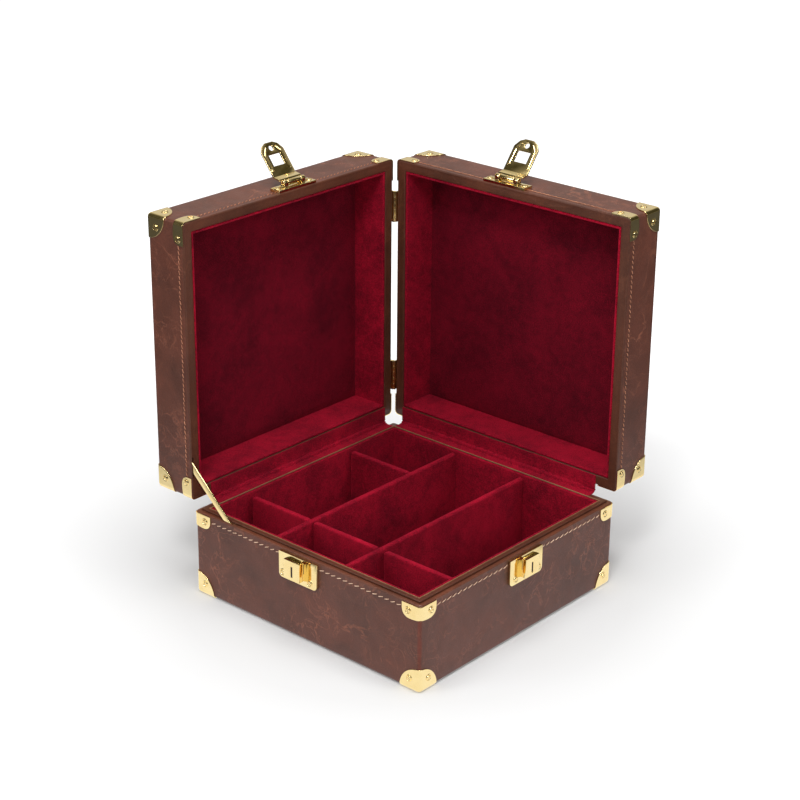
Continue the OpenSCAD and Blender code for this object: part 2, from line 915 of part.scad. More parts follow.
module rear_lid_screws() {
    on_rear_lid() lid_screws(rear_hasp_y, -1, rear_corner_screws);
}

module rear_lid_hinge_leaves() {
    on_rear_lid() lid_hinge_leaves();
}

module rear_lid_strip() {
    on_rear_lid() lid_strip(rear_strip);
}

module rear_corner_knuckles() {
    on_rear_lid() corner_knuckles(-1, 1);
}

module rear_hasp_base() {
    on_rear_lid() hasp_base(rear_hasp_y);
}

module rear_hasp_pin() {
    on_rear_lid() hasp_pin(rear_hasp_y);
}

module rear_hasp() {
    on_rear_lid() hasp(rear_hasp_y);
}

// ---------------------------------------------------------------- stay

// Flat arm from a pivot inside the left lid's front wall down into the base
module stay_arm() {
    t = stay_y[1] - stay_y[0];
    color(brass) translate([-hinge_x - stay_pivot_v, stay_y[1], closing_z + stay_pivot_u])
        rotate([0, stay_angle, 0]) rotate([90, 0, 0]) linear_extrude(t) difference() {
            union() {
                circle(stay_eye_r);
                translate([0, -stay_w / 2]) square([stay_length, stay_w]);
            }
            circle(stay_pin_r + play);
        }
}

module stay_pin() {
    color(brass) on_left_lid() translate([stay_pivot_u, -wall_in - stay_pin_in, stay_pivot_v])
        rotate([90, 0, 0]) cylinder(h = wall_t - stay_pin_in - 2 * fit, r = stay_pin_r);
}

bottom_sheet();
base_floor();
base_front_wall();
base_left_wall();
base_rear_wall();
base_right_wall();
base_leather();
base_rim();
base_lining();
base_floor_pad();
left_long_divider();
right_long_divider();
short_divider_1();
short_divider_2();
short_divider_3();
short_divider_4();
base_lower_caps();
base_upper_plates();
base_screws();
base_hinge_leaves();
hinge_pins();
base_strips();
front_lock_plate();
front_lock_case();
front_lock_slide();
right_lock_plate();
right_lock_case();
right_lock_slide();
left_lid_panel();
left_lid_walls();
left_lid_leather();
left_lid_rim();
left_lid_lining();
left_lid_pad();
left_lid_rim_plates();
left_lid_caps();
left_lid_screws();
left_lid_hinge_leaves();
left_lid_strip();
left_corner_knuckles();
left_hasp_base();
left_hasp_pin();
left_hasp();
rear_lid_panel();
rear_lid_walls();
rear_lid_leather();
rear_lid_rim();
rear_lid_lining();
rear_lid_pad();
rear_lid_rim_plates();
rear_lid_caps();
rear_lid_screws();
rear_lid_hinge_leaves();
rear_lid_strip();
rear_corner_knuckles();
rear_hasp_base();
rear_hasp_pin();
rear_hasp();
stay_arm();
stay_pin();
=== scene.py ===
"""Looks of the leather jewellery case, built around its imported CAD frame. Metres, +Z up."""

import json
import math
import random

import bmesh
import bpy
import numpy as np
from mathutils import Matrix, Vector, noise


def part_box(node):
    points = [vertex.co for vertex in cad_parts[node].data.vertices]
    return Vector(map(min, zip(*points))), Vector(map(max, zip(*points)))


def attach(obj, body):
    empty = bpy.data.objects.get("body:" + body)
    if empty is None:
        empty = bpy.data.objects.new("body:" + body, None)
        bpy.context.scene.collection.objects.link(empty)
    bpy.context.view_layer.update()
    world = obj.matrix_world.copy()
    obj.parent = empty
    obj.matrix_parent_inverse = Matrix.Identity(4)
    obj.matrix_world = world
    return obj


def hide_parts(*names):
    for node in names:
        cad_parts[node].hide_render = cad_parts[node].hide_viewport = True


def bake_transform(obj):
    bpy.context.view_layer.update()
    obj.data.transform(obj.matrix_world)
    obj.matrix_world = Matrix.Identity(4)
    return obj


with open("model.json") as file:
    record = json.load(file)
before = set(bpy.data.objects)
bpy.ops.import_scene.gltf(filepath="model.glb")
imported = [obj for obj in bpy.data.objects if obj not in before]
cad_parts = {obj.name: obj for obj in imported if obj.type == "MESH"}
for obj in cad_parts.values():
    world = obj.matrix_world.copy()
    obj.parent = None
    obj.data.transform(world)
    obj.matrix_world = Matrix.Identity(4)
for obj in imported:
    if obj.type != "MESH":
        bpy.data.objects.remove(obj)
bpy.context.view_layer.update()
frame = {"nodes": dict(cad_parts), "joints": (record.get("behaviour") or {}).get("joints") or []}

MM = 0.001

# ---------------------------------------------------------------- sizes read from the frame

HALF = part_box("base_leather")[1].x
COVER_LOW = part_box("base_leather")[0].z
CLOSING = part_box("base_rim")[1].z
RIM_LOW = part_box("base_rim")[0].z
WALL_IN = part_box("base_lining")[1].x
FLOOR_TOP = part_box("base_floor")[1].z
LINING_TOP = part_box("base_lining")[1].z
LINING_T = WALL_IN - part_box("base_floor_pad")[1].x
LEDGE_TOP = CLOSING - 1.4 * MM
BAND_OUT = HALF - 4 * MM
EDGE_R = 3 * MM

HINGE = {joint["name"]: Vector(joint["pos_m"]) for joint in frame["joints"] if "pos_m" in joint}
HINGE_X = -HINGE["left_lid_hinge"].x
LID_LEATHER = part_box("left_lid_leather")
LID_GAP = LID_LEATHER[0].z - HINGE["left_lid_hinge"].z
LID_END = LID_LEATHER[1].z - HINGE["left_lid_hinge"].z
LID_DEPTH = -LID_LEATHER[0].x - HINGE_X
LID_RIM = -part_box("left_lid_rim")[1].x - HINGE_X
LID_MIDDLE = (LID_GAP + LID_END) / 2
LID_HALF = (LID_END - LID_GAP) / 2
LID_PAD = -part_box("left_lid_pad")[1].x - HINGE_X
LID_PANEL = -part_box("left_lid_panel")[1].x - HINGE_X

# Centre and half sizes, in a lid's and in the base's own frame.
LID_OUTLINE = ((LID_MIDDLE, 0), LID_HALF, HALF)
BASE_OUTLINE = ((0, 0), HALF, HALF)

# ---------------------------------------------------------------- sizes that the looks add

# How far the leather turns in under the base, and the steps in a rounded corner seen from above.
TURN_IN = 34 * MM
CORNER_STEPS = 6

# Stitch rows: how far from the rim, from the corners and from the lock plates they run.
BASE_STITCH_DROP = 6.4 * MM
LID_STITCH_IN = 6.3 * MM
BASE_STITCH_CLEAR = 19.5 * MM
LID_STITCH_CLEAR = 15.8 * MM
LOCK_CLEAR = 0.5 * MM
# Pitch, length and lean of the stitches, and their thread.
BASE_STITCH = (6.4 * MM, 5.5 * MM, 0.9 * MM, "thread")
LID_STITCH = (4.4 * MM, 4.1 * MM, 0.85 * MM, "tan_thread")
STITCH_R = 0.4 * MM
# A needle hole: half its length and width, how far its edge stands off the leather, and its depth.
HOLE_LONG, HOLE_WIDE = 0.42 * MM, 0.36 * MM
HOLE_LIFT, HOLE_SINK = 0.03 * MM, 0.2 * MM

# How far a pad's edge lies below its top, and the rounding along a divider's top.
PAD_SINK = 0.9 * MM
DIVIDER_R = 2.2 * MM

# Hinge strips: radius round the hinge, height of the underside on the base, measured from the
# hinge, thickness, and the stretch at both ends over which a strip is tucked in, and how far.
FOLD = 2.85 * MM
STRIP_UNDER = -0.72 * MM
STRIP_T = 0.5 * MM
STRIP_END = 14 * MM
STRIP_TUCK = 2.6 * MM

# Room for the stay arm: on each side of it, along x in the base's rim, and in the left lid's rim
# by height above the hinge and by depth.
STAY_SIDE = 0.25 * MM
STAY_SLOT = (-96.8 * MM, -83.6 * MM)
STAY_POCKET = (28 * MM, 46.8 * MM)
POCKET_DEPTH = 11 * MM

BRASS_T = 0.8 * MM
OFF_LEATHER = 0.02 * MM
CAP_REACH = 20.98 * MM
# Plates: reach to each side of the corner, height, and height at both ends; their dip at the corner.
BASE_PLATE = (19 * MM, 13.5 * MM, 4 * MM)
LID_PLATE = (20 * MM, 12.5 * MM, 4.5 * MM)
PLATE_DIP = 1.8 * MM
# Edges of the corner leaves: length, thickness, and their span from rim to panel.
LEAF_LONG = 29.4 * MM
LEAF_T = 0.8 * MM
LEAF_SPAN = (-1.95 * MM, 2.3 * MM)
# Screw solids with a smaller head than this aren't shown.
LEAST_HEAD = 1.2 * MM
# An open hasp's lean, the distance of its inner face from its pin, and the ribs on that face.
HASP_LEAN = math.radians(38)
HASP_FACE = 5.8 * MM
RIB_LINE = [(14, 11.2), (16, 10.4), (30, 10.4), (33, 8.9), (36.4, 5.6)]
RIB_HALF = 1.1 * MM
RIB_RISE = 0.65 * MM
RIB_SINK = 0.1 * MM
# Keyholes and slits: width, depth and height, height of the lower end, and the gap round the lining.
KEYHOLE, KEYHOLE_LOW = Vector((2.0, 3.0, 9.6)) * MM, 60.2 * MM
SLIT, SLIT_LOW = Vector((0.7, 0.8, 9.0)) * MM, 68 * MM
HOLE_SHY = 0.03 * MM


def turned(x, y, z, origin):
    """Matrix whose columns are the directions of a local frame."""
    m = Matrix((x, y, z)).transposed().to_4x4()
    m.translation = origin
    return m


# A lid's own frame: first axis up the open lid, second along its hinge, third from rim to panel.
LEFT = turned((0, 0, 1), (0, 1, 0), (-1, 0, 0), HINGE["left_lid_hinge"])
REAR = turned((0, 0, 1), (1, 0, 0), (0, 1, 0), HINGE["rear_lid_hinge"])
LIDS = {"left": LEFT, "rear": REAR}
BASE = Matrix.Identity(4)

# ---------------------------------------------------------------- materials


def link_or_set(tree, socket, value):
    """Feeds an input from another node's output, or sets it to a plain value."""
    if isinstance(value, bpy.types.NodeSocket):
        tree.links.new(value, socket)
    else:
        socket.default_value = value


class Paint:
    """The nodes of a material or the world, with short calls for what a pattern needs."""

    def __init__(self, owner, shader, place):
        owner.use_nodes = True
        self.owner = owner
        self.tree = owner.node_tree
        self.shader = self.tree.nodes[shader]
        self.place = self.tree.nodes.new("ShaderNodeTexCoord").outputs[place]

    def node(self, kind, inputs, **settings):
        made = self.tree.nodes.new("ShaderNode" + kind)
        for key, value in settings.items():
            setattr(made, key, value)
        for key, value in inputs.items():
            link_or_set(self.tree, made.inputs[key], value)
        return made

    def noise(self, scale, detail=4, rough=0.55, distortion=0.0, place=None):
        inputs = {"Vector": place or self.place, "Scale": scale, "Detail": detail,
                  "Roughness": rough, "Distortion": distortion}
        return self.node("TexNoise", inputs).outputs["Fac"]

    def ramp(self, value, low, high, start=0.0, end=1.0):
        inputs = {"Value": value, "From Min": low, "From Max": high, "To Min": start, "To Max": end}
        return self.node("MapRange", inputs).outputs["Result"]

    def math(self, operation, a, b=0.5):
        return self.node("Math", {0: a, 1: b}, operation=operation).outputs[0]

    def line(self, value, width):
        """1 where a noise crosses its middle, fading to 0 at width away from it."""
        off = self.math("ABSOLUTE", self.math("SUBTRACT", value, 0.5))
        return self.ramp(off, 0.0, width, 1.0, 0.0)

    def mix(self, amount, a, b):
        return self.node("Mix", {"Factor": amount, "A": a, "B": b}, data_type="RGBA").outputs["Result"]

    def vector(self, operation, a, b, output=0):
        return self.node("VectorMath", {0: a, 1: b}, operation=operation).outputs[output]

    def warped(self, scale, amount):
        """The place, pushed about by a noise, for patterns without straight lines."""
        push = self.node("TexNoise", {"Vector": self.place, "Scale": scale, "Detail": 3}).outputs["Color"]
        push = self.vector("SUBTRACT", push, (0.5, 0.5, 0.5))
        push = self.vector("MULTIPLY", push, (amount, amount, amount))
        return self.vector("ADD", self.place, push)

    def bump(self, height, strength, distance, under=None):
        inputs = {"Height": height, "Strength": strength, "Distance": distance}
        if under is not None:
            inputs["Normal"] = under
        return self.node("Bump", inputs).outputs["Normal"]

    def finish(self, **inputs):
        for key, value in inputs.items():
            link_or_set(self.tree, self.shader.inputs[key.replace("_", " ")], value)
        return self.owner


def paint(name):
    return Paint(bpy.data.materials.new(name), "Principled BSDF", "Object")


def colour(red, green, blue):
    """A colour given as it looks on a screen, 0 to 255, in the linear values that nodes take."""
    linear = [((c / 255 + 0.055) / 1.055) ** 2.4 if c > 10 else c / 255 / 12.92 for c in (red, green, blue)]
    return (*linear, 1.0)


def leather_material(name, tones, shine, marbling, worn=0.0):
    """Glazed hide: soft clouds of tone, a net of fine broken veins, a pebbled grain, worn corners."""
    dark, middle, light = tones
    p = paint(name)
    tone = p.mix(p.ramp(p.noise(21, 6, 0.62, 0.6), 0.3, 0.72), dark, middle)
    veins = p.math("MULTIPLY", p.line(p.noise(13, 5, 0.58, 0.5, p.warped(34, 0.022)), 0.011),
                   p.ramp(p.noise(30, 4, 0.65), 0.42, 0.62))
    fine = p.math("MULTIPLY", p.line(p.noise(42, 5, 0.62, 0.8), 0.02),
                  p.ramp(p.noise(26, 4, 0.6), 0.4, 0.64))
    tone = p.mix(p.math("MULTIPLY", veins, 0.3 * marbling), tone, light)
    tone = p.mix(p.math("MULTIPLY", fine, 0.22 * marbling), tone, light)
    grain = p.ramp(p.noise(1100, 4, 0.75), 0.32, 0.72)
    tone = p.mix(p.math("MULTIPLY", grain, 0.2), tone, light)
    if worn:
        parts = p.node("SeparateXYZ", {0: p.place}).outputs
        off = p.math("ADD", p.math("ABSOLUTE", parts["X"]), p.math("ABSOLUTE", parts["Y"]))
        seam = p.ramp(p.math("ADD", off, p.ramp(p.noise(160, 3), 0.3, 0.7, -0.0006, 0.0006)),
                      2 * HALF - 1.1 * EDGE_R, 2 * HALF - 0.6 * EDGE_R)
        tone = p.mix(p.math("MULTIPLY", seam, worn), tone, WORN_LEATHER)
    pebble = p.node("TexVoronoi", {"Vector": p.warped(700, 0.0004), "Scale": 1250}).outputs["Distance"]
    normal = p.bump(pebble, 0.32, 0.00032)
    normal = p.bump(p.noise(3800, 3, 0.7), 0.14, 0.0002, normal)
    normal = p.bump(p.math("ADD", veins, fine), 0.3, 0.0003, normal)
    normal = p.bump(p.noise(48, 3), 0.12, 0.002, normal)
    roughness = p.ramp(p.noise(75, 4, 0.7), 0.25, 0.75, shine, shine + 0.14)
    return p.finish(Base_Color=tone, Roughness=roughness, Normal=normal, Coat_Weight=0.12,
                    Coat_Roughness=0.35, Specular_IOR_Level=0.36)


def velvet_material(name, deep, pile, sheen):
    """Short-pile velvet: brushed patches of nap, fine pile, and sheen at a low angle."""
    p = paint(name)
    patches = p.ramp(p.noise(20, 4, 0.55, 0.5), 0.28, 0.74)
    strokes = p.ramp(p.noise(120, 4, 0.62, 0.5), 0.28, 0.74)
    fibres = p.noise(2300, 4, 0.8)
    nap = p.math("ADD", p.math("MULTIPLY", patches, 0.5), p.math("MULTIPLY", strokes, 0.3))
    nap = p.math("ADD", nap, p.ramp(fibres, 0.36, 0.72, -0.3, 0.5))
    nap = p.math("ADD", nap, p.ramp(p.noise(820, 3, 0.7), 0.34, 0.66, -0.26, 0.26))
    tone = p.mix(p.ramp(nap, 0.0, 1.0), deep, pile)
    normal = p.bump(fibres, 0.6, 0.0006)
    normal = p.bump(strokes, 0.3, 0.0008, normal)
    return p.finish(Base_Color=tone, Roughness=0.94, Normal=normal, Specular_IOR_Level=0.1,
                    Sheen_Weight=sheen, Sheen_Roughness=0.42, Sheen_Tint=colour(206, 36, 66))


def brass_material(name, tint, rough):
    """Polished brass: faint cloudy tarnish and fine rubbing marks."""
    p = paint(name)
    cloud = p.ramp(p.noise(70, 4), 0.35, 0.75)
    tone = p.mix(p.math("MULTIPLY", cloud, 0.3), tint, colour(226, 190, 108))
    rub = p.noise(900, 2, 0.6)
    roughness = p.ramp(p.noise(240, 3, 0.6), 0.3, 0.75, rough, rough + 0.08)
    normal = p.bump(rub, 0.04, 0.0001, p.bump(p.noise(55, 2), 0.12, 0.0012))
    return p.finish(Base_Color=tone, Metallic=1.0, Roughness=roughness, Normal=normal)


def thread_material(name, dark, light):
    """Waxed thread: a fine twist in a slightly uneven tone."""
    p = paint(name)
    twist = p.node("TexWave", {"Vector": p.place, "Scale": 900, "Distortion": 1.5}).outputs["Fac"]
    tone = p.mix(p.ramp(p.noise(400, 2), 0.3, 0.7), dark, light)
    return p.finish(Base_Color=tone, Roughness=0.7, Normal=p.bump(twist, 0.4, 0.0002))


def wood_material():
    """Raw plywood: thin layers, one above the other."""
    p = paint("raw_plywood")
    stretch = p.vector("MULTIPLY", p.place, (1.0, 1.0, 9.0))
    grain = p.noise(60, 5, 0.6, 2.0, stretch)
    tone = p.mix(p.ramp(grain, 0.3, 0.7), colour(186, 150, 104), colour(222, 192, 146))
    return p.finish(Base_Color=tone, Roughness=0.65, Normal=p.bump(grain, 0.2, 0.0004))


def felt_material():
    p = paint("dark_felt")
    fibres = p.noise(900, 5, 0.8)
    tone = p.mix(p.ramp(fibres, 0.3, 0.7), colour(34, 20, 18), colour(62, 40, 36))
    return p.finish(Base_Color=tone, Roughness=0.95, Normal=p.bump(fibres, 0.6, 0.0006),
                    Sheen_Weight=0.2, Sheen_Roughness=0.5)


def floor_material():
    """White paper, bright enough to lose its edge; what shines sees it fade away from the case."""
    p = paint("studio_floor")
    distance = p.vector("LENGTH", p.place, (0, 0, 0), "Value")
    glossy = p.node("LightPath", {}).outputs["Is Glossy Ray"]
    shine = p.math("MULTIPLY", glossy, p.ramp(distance, 0.34, 0.62, 1.0, 0.05))
    matte = p.math("MULTIPLY", p.math("SUBTRACT", 1.0, glossy), p.ramp(distance, 0.2, 0.7, 0.1, 0.66))
    tone = p.mix(glossy, (0.56, 0.56, 0.56, 1), (0.02, 0.02, 0.02, 1))
    return p.finish(Base_Color=tone, Roughness=0.8, Specular_IOR_Level=0.0,
                    Emission_Color=(1, 1, 1, 1), Emission_Strength=p.math("ADD", shine, matte))


# Dark discs over the needle holes: painted shade where the holes are.
def needle_hole_shade_material():
    p = paint("needle_hole_painted_shade")
    tone = p.mix(p.noise(800, 2), colour(38, 20, 14), colour(58, 34, 26))
    return p.finish(Base_Color=tone, Roughness=0.8)


CHESTNUT = (colour(52, 22, 14), colour(86, 41, 28), colour(160, 94, 66))
RIM_TONES = (colour(50, 23, 14), colour(82, 42, 27), colour(140, 84, 58))
BURNISHED = (colour(62, 29, 17), colour(98, 49, 31), colour(150, 92, 62))
PIPING = (colour(92, 58, 36), colour(136, 94, 62), colour(180, 138, 100))
WORN_LEATHER = colour(108, 42, 26)
MATERIAL = {
    "leather": leather_material("chestnut_leather", CHESTNUT, 0.42, 1.4),
    "base_leather": leather_material("base_chestnut_leather", CHESTNUT, 0.42, 1.4, 0.55),
    "rim": leather_material("rim_leather", RIM_TONES, 0.34, 0.6),
    "edge": leather_material("burnished_edge", BURNISHED, 0.34, 0.5),
    "piping": leather_material("edge_piping", PIPING, 0.4, 0.3),
    # One velvet in two copies: the pads' copy is darker as painted shade, the copy on linings, dividers and
    # strips is brighter as painted light.
    "velvet": velvet_material("velvet_painted_shade_copy", colour(52, 1, 12), colour(118, 7, 29), 0.4),
    "velvet_edge": velvet_material("velvet_painted_light_copy", colour(68, 2, 16), colour(174, 15, 43), 0.58),
    "brass": brass_material("polished_brass", colour(252, 228, 168), 0.12),
    # The slides' brass is painted a deeper yellow, a painted reflection of the brass round it.
    "gold": brass_material("brass_painted_reflection", colour(240, 190, 84), 0.2),
    "thread": thread_material("pale_thread", colour(184, 144, 116), colour(218, 186, 160)),
    "tan_thread": thread_material("tan_thread", colour(138, 84, 60), colour(186, 130, 98)),
    # Needle holes and the insides of keyholes and slits get this dark painted shade.
    "hole": needle_hole_shade_material(),
    "wood": wood_material(),
    "felt": felt_material(),
}

# ---------------------------------------------------------------- mesh helpers


def linked(name, data):
    """An object in the scene, made of the mesh, lamp or camera data."""
    obj = bpy.data.objects.new(name, data)
    bpy.context.scene.collection.objects.link(obj)
    return obj


def loose(points, faces):
    """A bare mesh object that another step joins, cuts or dresses."""
    mesh = bpy.data.meshes.new("part")
    mesh.from_pydata([tuple(p) for p in points], [], [tuple(f) for f in faces])
    return linked("part", mesh)


def dress(obj, name, material, body, replaced=(), smooth=35.0):
    """Names a bare object and gives it its material, body and the nodes it stands for."""
    obj.name = obj.data.name = name
    finish_mesh(obj, smooth)
    obj.data.materials.clear()
    obj.data.materials.append(MATERIAL[material])
    if body:
        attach(obj, body)
    if replaced:
        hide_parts(*replaced)
    return obj


def piece(name, points, faces, material, body, slot, place=BASE, replaced=()):
    """A dressed mesh object, its points given in a place's own frame."""
    return dress(loose([place @ Vector(p) for p in points], faces), name, material, body, replaced)


def finish_mesh(obj, smooth):
    """Closes the mesh up, turns its normals outwards, and shades it smooth up to an angle."""
    bm = bmesh.new()
    bm.from_mesh(obj.data)
    bmesh.ops.remove_doubles(bm, verts=bm.verts, dist=1e-6)
    bmesh.ops.dissolve_degenerate(bm, dist=1e-7, edges=bm.edges)
    bmesh.ops.recalc_face_normals(bm, faces=bm.faces)
    bm.to_mesh(obj.data)
    bm.free()
    obj.data.shade_smooth()
    obj.data.set_sharp_from_angle(angle=math.radians(smooth))


def apply_modifiers(obj):
    """Puts what the modifiers make into the mesh itself."""
    graph = bpy.context.evaluated_depsgraph_get()
    graph.update()
    mesh = bpy.data.meshes.new_from_object(obj.evaluated_get(graph))
    old = obj.data
    obj.modifiers.clear()
    obj.data = mesh
    bpy.data.meshes.remove(old)
    return obj


def modifier(obj, kind, **settings):
    """Adds a modifier with these settings."""
    made = obj.modifiers.new(kind.lower(), kind)
    for key, value in settings.items():
        setattr(made, key, value)
    return made


def soften(obj, amount, scale, seed):
    """Moves the points in and out a little, so that a covered board isn't dead flat."""
    shift = Vector((seed, seed * 1.7, -seed))
    for v in obj.data.vertices:
        v.co -= v.normal * amount * (0.5 + 0.5 * noise.noise(v.co * scale + shift))


def spread(start, end, steps):
    """Evenly spaced numbers from start to end, both included."""
    return [start + (end - start) * i / steps for i in range(steps + 1)]


def arc(centre, r, start, end, steps):
    """Points (distance, height) on an arc, angles in degrees."""
    return [(centre[0] + r * math.cos(math.radians(turn)), centre[1] + r * math.sin(math.radians(turn)))
            for turn in spread(start, end, steps)]


def ring(centre, half_u, half_v, r, w, parts):
    """Points around a rectangle with round corners, at height w, as (u, v, w)."""
    corners = []
    for u, v, start in ((1, 1, 0), (-1, 1, 90), (-1, -1, 180), (1, -1, 270)):
        middle = (centre[0] + u * (half_u - r), centre[1] + v * (half_v - r))
        corners.append(arc(middle, r, start, start + 90, CORNER_STEPS))
    points = []
    for corner, following in zip(corners, corners[1:] + corners[:1]):
        points += corner
        points += list(zip(*(spread(a, b, parts)[1:-1] for a, b in zip(corner[-1], following[0]))))
    return [(u, v, w) for u, v in points]


def grid(columns, rows):
    """Faces between points that are listed column by column, each from row 0 to the last."""
    n = rows + 1
    return [(i * n + j, i * n + j + 1, (i + 1) * n + j + 1, (i + 1) * n + j)
            for i in range(columns) for j in range(rows)]


def loft(rings, closed=False):
    """Points and faces of a skin over rings that have the same number of points."""
    n = len(rings[0])
    faces = []
    for k in range(len(rings) if closed else len(rings) - 1):
        a, b = k * n, (k + 1) % len(rings) * n
        faces += [(a + i, a + (i + 1) % n, b + (i + 1) % n, b + i) for i in range(n)]
    return [p for r in rings for p in r], faces


def capped(rings, both=True):
    """A loft with a flat face over its last ring, and over its first when both are asked for."""
    points, faces = loft(rings)
    n = len(rings[0])
    faces.append(tuple(range(len(points) - n, len(points))))
    if both:
        faces.append(tuple(range(n)))
    return points, faces


def profile_rings(profile, outline, parts):
    """Rings from a cross-section of (inset, height) points, insets measured from the outside."""
    centre, half_u, half_v = outline
    return [ring(centre, half_u - inset, half_v - inset, max(EDGE_R - inset, 0.3 * MM), height, parts)
            for inset, height in profile]


def smooth_path(path, rounds):
    """Rounds a polyline's corners by cutting them, keeping its ends."""
    for _ in range(rounds):
        cut_path = [path[0]]
        for a, b in zip(path, path[1:]):
            cut_path.append((0.75 * a[0] + 0.25 * b[0], 0.75 * a[1] + 0.25 * b[1]))
            cut_path.append((0.25 * a[0] + 0.75 * b[0], 0.25 * a[1] + 0.75 * b[1]))
        path = cut_path + [path[-1]]
    return path


def side_on(path, i):
    """The unit direction square to a path at its point i, to the left of its run."""
    before, after = path[max(i - 1, 0)], path[min(i + 1, len(path) - 1)]
    along = Vector((after[0] - before[0], after[1] - before[1])).normalized()
    return Vector((-along.y, along.x))


def joined(parts):
    """One object from several of the same material."""
    bm = bmesh.new()
    for part in parts:
        bm.from_mesh(part.data)
        bpy.data.objects.remove(part)
    mesh = bpy.data.meshes.new("part")
    bm.to_mesh(mesh)
    bm.free()
    return linked("part", mesh)


def block(low, high):
    """A bare box between two corners."""
    points = [(x, y, z) for z in (low[2], high[2]) for y in (low[1], high[1]) for x in (low[0], high[0])]
    faces = [(0, 2, 3, 1), (4, 5, 7, 6), (0, 1, 5, 4), (2, 6, 7, 3), (0, 4, 6, 2), (1, 3, 7, 5)]
    return loose(points, faces)


def cut(obj, tool):
    """Takes the tool out of obj."""
    modifier(obj, "BOOLEAN", object=tool, operation="DIFFERENCE", solver="EXACT")
    apply_modifiers(obj)
    bpy.data.objects.remove(tool)
    return obj


# ---------------------------------------------------------------- leather covers and rims


def base_cover():
    """Leather over the outside of the base, turned in under the bottom."""
    top = LEDGE_TOP - 1.6 * MM
    profile = [(1 * MM, top + 0.2 * MM)] + [(0, z) for z in spread(top, COVER_LOW + EDGE_R, 9)[:-1]]
    profile += arc((EDGE_R, COVER_LOW + EDGE_R), EDGE_R, 180, 270, 6)
    profile += [(EDGE_R + inset, COVER_LOW) for inset in (0.4 * MM, 2 * MM, TURN_IN)]
    obj = piece("base_cover", *capped(profile_rings(profile, BASE_OUTLINE, 36), False),
                "base_leather", "base", "leather", replaced=["base_leather"])
    soften(obj, 0.14 * MM, 30, 1)


def base_rim():
    """Burnished outer edge, groove, and the raised band that the lids close around."""
    top = LEDGE_TOP
    ledge_r = 1.7 * MM
    outer = [(OFF_LEATHER, top - 1.75 * MM)] + arc((ledge_r, top - ledge_r), ledge_r, 180, 90, 6)
    outer += [(3.2 * MM, top - 0.05 * MM), (3.75 * MM, top - 0.35 * MM), (3.95 * MM, top - 0.9 * MM)]
    outer += [(4.2 * MM, top - 1.6 * MM), (1 * MM, top - 2.2 * MM), (0.2 * MM, top - 2.0 * MM)]
    edge = piece("base_burnished_edge", *loft(profile_rings(outer, BASE_OUTLINE, 40), True),
                 "edge", "base", "rim_leather")
    soften(edge, 0.06 * MM, 60, 2)
    band_r = 0.7 * MM
    start, inner = HALF - BAND_OUT, HALF - WALL_IN
    band = [(start, RIM_LOW), (start, CLOSING - band_r - 0.1 * MM)]
    band += arc((start + band_r, CLOSING - band_r), band_r, 180, 90, 5)
    band += [(6.2 * MM, CLOSING - 0.02 * MM), (inner - 1.5 * MM, CLOSING - 0.05 * MM)]
    band += [(inner - 1.2 * MM, CLOSING - 0.3 * MM), (inner - 1.1 * MM, RIM_LOW)]
    raised = piece("base_band", *loft(profile_rings(band, BASE_OUTLINE, 40), True),
                   "rim", "base", "rim_leather", replaced=["base_rim"])
    sink_under_strips(raised, 0.85 * MM)
    soften(raised, 0.05 * MM, 60, 3)
    for obj in (edge, raised):
        cut(obj, stay_room((STAY_SLOT[0], RIM_LOW - 1 * MM), (STAY_SLOT[1], CLOSING + 2 * MM)))
        obj.data.set_sharp_from_angle(angle=math.radians(35))
    bead_r = 0.55 * MM
    bead = arc((inner - 0.6 * MM, CLOSING - bead_r), bead_r, 0, 330, 11)
    piece("base_piping", *loft(profile_rings(bead, BASE_OUTLINE, 40), True),
          "piping", "base", "rim_leather")


def sink_under_strips(obj, drop):
    """Lowers the band on the two hinge sides, where the velvet strips lie on it."""
    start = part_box("left_lid_strip")[0].y
    for v in obj.data.vertices:
        on_left = v.co.x < -WALL_IN and v.co.y > start
        on_rear = v.co.y > WALL_IN and v.co.x < -start
        if (on_left or on_rear) and v.co.z > CLOSING - drop:
            v.co.z = CLOSING - drop


def stay_room(low, high):
    """A hole between two (x, z) corners, a little wider than the stay arm that moves in it."""
    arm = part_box("stay_arm")
    return block((low[0], arm[0].y - STAY_SIDE, low[1]), (high[0], arm[1].y + STAY_SIDE, high[1]))


def lid_cover(side, place):
    """Leather over a lid's four sides and its outer panel."""
    r = EDGE_R
    start = LID_RIM + 1.6 * MM
    profile = [(1 * MM, start - 0.2 * MM)] + [(0, depth) for depth in spread(start, LID_DEPTH - r, 5)]
    profile += arc((r, LID_DEPTH - r), r, 180, 90, 6)[1:]
    profile += [(inset, LID_DEPTH) for inset in (r + 0.4 * MM, 12 * MM, 40 * MM, 80 * MM, 110 * MM)]
    obj = piece(side + "_lid_cover", *capped(profile_rings(profile, LID_OUTLINE, 36), False),
                "leather", side + "_lid", "leather", place, [side + "_lid_leather"])
    soften(obj, 0.14 * MM, 30, 8)


def lid_rim(side, place):
    """Leather-covered rim of a lid with rounded edges; the left one has the stay's pocket."""
    depth = HALF - WALL_IN
    r, inner_r = 1.3 * MM, 0.6 * MM
    front = LID_RIM
    profile = [(OFF_LEATHER, front + 1.65 * MM)] + arc((r, front + r), r, 180, 270, 5)
    profile += [(2.2 * MM, front), (3 * MM, front + 0.1 * MM), (3.4 * MM, front), (depth - 1.2 * MM, front)]
    profile += arc((depth - 0.65 * MM, front + inner_r), inner_r, 270, 360, 4)
    profile += [(depth - 0.05 * MM, front + 2.2 * MM), (0.3 * MM, front + 2.2 * MM)]
    obj = piece(side + "_lid_rim_leather", *loft(profile_rings(profile, LID_OUTLINE, 40), True),
                "rim", side + "_lid", "rim_leather", place, [side + "_lid_rim"])
    soften(obj, 0.05 * MM, 60, 5)
    if side == "left":
        hinge = HINGE["left_lid_hinge"]
        low, high = (hinge.z + z for z in STAY_POCKET)
        cut(obj, stay_room((hinge.x - POCKET_DEPTH, low), (hinge.x + 1 * MM, high)))


# ---------------------------------------------------------------- stitching


